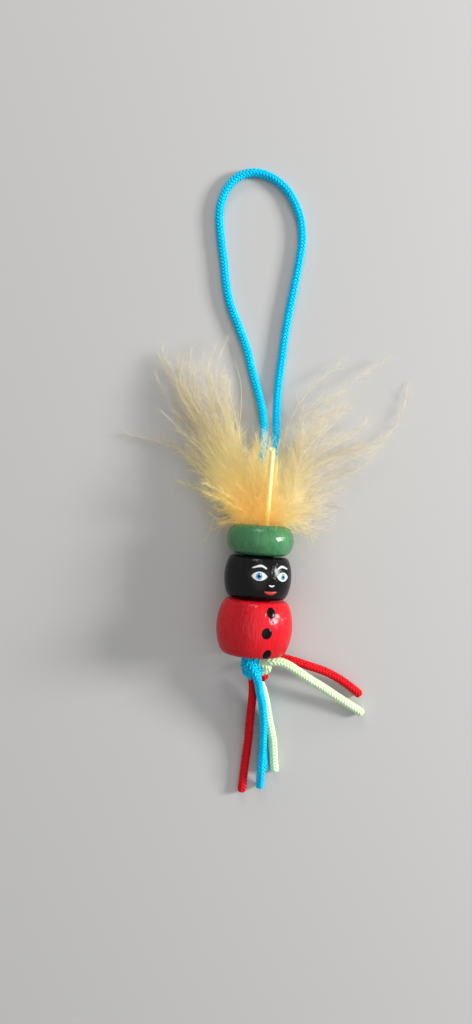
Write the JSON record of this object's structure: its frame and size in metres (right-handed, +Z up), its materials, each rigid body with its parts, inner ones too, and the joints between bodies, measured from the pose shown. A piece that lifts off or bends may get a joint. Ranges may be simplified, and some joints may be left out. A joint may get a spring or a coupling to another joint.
{
  "type": "bead doll",
  "caption": "Hanging charm doll of lacquered wooden beads on a braided cord, with cord limbs from a knot and a downy feather in its hat.",
  "frame": {"origin": "on the surface that the doll lies on, under the middle of the box of its beads, the cord inside them and its feather", "axes": "+Y along the bead axis from the legs to the hanging loop, +Z up from the surface, +X to the right in a view from above with the loop at the top"},
  "size_m": [0.0692, 0.154, 0.018],
  "materials": {
    "body_lacquer": "satin red lacquer",
    "head_lacquer": "glossy black lacquer with painted features",
    "hat_lacquer": "glossy green lacquer",
    "blue_cord": "braided polyester cord",
    "red_cord": "braided polyester cord",
    "green_cord": "braided polyester cord",
    "feather_quill": "dyed horn quill",
    "feather_down": "dyed marabou down"
  },
  "bodies": {
    "cord": {"hanging_loop": "blue_cord", "left_strand": "blue_cord", "right_strand": "blue_cord", "blue_knot": "blue_cord", "green_bight": "green_cord", "red_bight": "red_cord", "red_arm_root": "red_cord", "feather_quill": "feather_quill", "feather_left_vane": "feather_down", "feather_right_vane": "feather_down", "feather_front_down": "feather_down", "feather_back_down": "feather_down"},
    "body": {"body_bead": "body_lacquer"},
    "head": {"head_bead": "head_lacquer"},
    "hat": {"hat_bead": "hat_lacquer"},
    "front_blue_leg": {"blue_leg_front": "blue_cord"},
    "back_blue_leg": {"blue_leg_back": "blue_cord"},
    "red_leg": {"red_leg": "red_cord"},
    "green_leg": {"green_leg": "green_cord"},
    "green_arm": {"green_arm": "green_cord"},
    "red_arm": {"red_arm": "red_cord"}
  },
  "joints": [
    {"name": "body_spin", "type": "hinge", "parent": "cord", "child": "body", "pos_m": [-0.00001, -0.0315, 0.009], "axis": [0, 1, 0], "continuous": true},
    {"name": "head_spin", "type": "hinge", "parent": "cord", "child": "head", "pos_m": [-0.00001, -0.0198, 0.008], "axis": [0, 1, 0], "continuous": true},
    {"name": "hat_spin", "type": "hinge", "parent": "cord", "child": "hat", "pos_m": [-0.00001, -0.011, 0.008], "axis": [0, 1, 0], "continuous": true},
    {"name": "front_blue_leg_lift", "type": "hinge", "parent": "cord", "child": "front_blue_leg", "pos_m": [0.00189, -0.04685, 0.0082], "axis": [-1, 0, 0], "range_deg": [0, 80]},
    {"name": "back_blue_leg_swing", "type": "hinge", "parent": "cord", "child": "back_blue_leg", "pos_m": [0.00229, -0.04685, 0.00378], "axis": [0, 0, 1], "range_deg": [-7, 0]},
    {"name": "red_leg_swing", "type": "hinge", "parent": "cord", "child": "red_leg", "pos_m": [0.00089, -0.04685, 0.00558], "axis": [0, 0, 1], "range_deg": [-70, 0]},
    {"name": "green_leg_swing", "type": "hinge", "parent": "cord", "child": "green_leg", "pos_m": [0.00319, -0.04685, 0.00617], "axis": [0, 0, 1], "range_deg": [0, 40]},
    {"name": "green_arm_lift", "type": "hinge", "parent": "cord", "child": "green_arm", "pos_m": [0.00439, -0.0394, 0.00932], "axis": [0, -1, 0], "range_deg": [0, 75]},
    {"name": "red_arm_swing", "type": "hinge", "parent": "cord", "child": "red_arm", "pos_m": [0.00809, -0.03935, 0.0052], "axis": [0, 0, 1], "range_deg": [0, 60]}
  ]
}
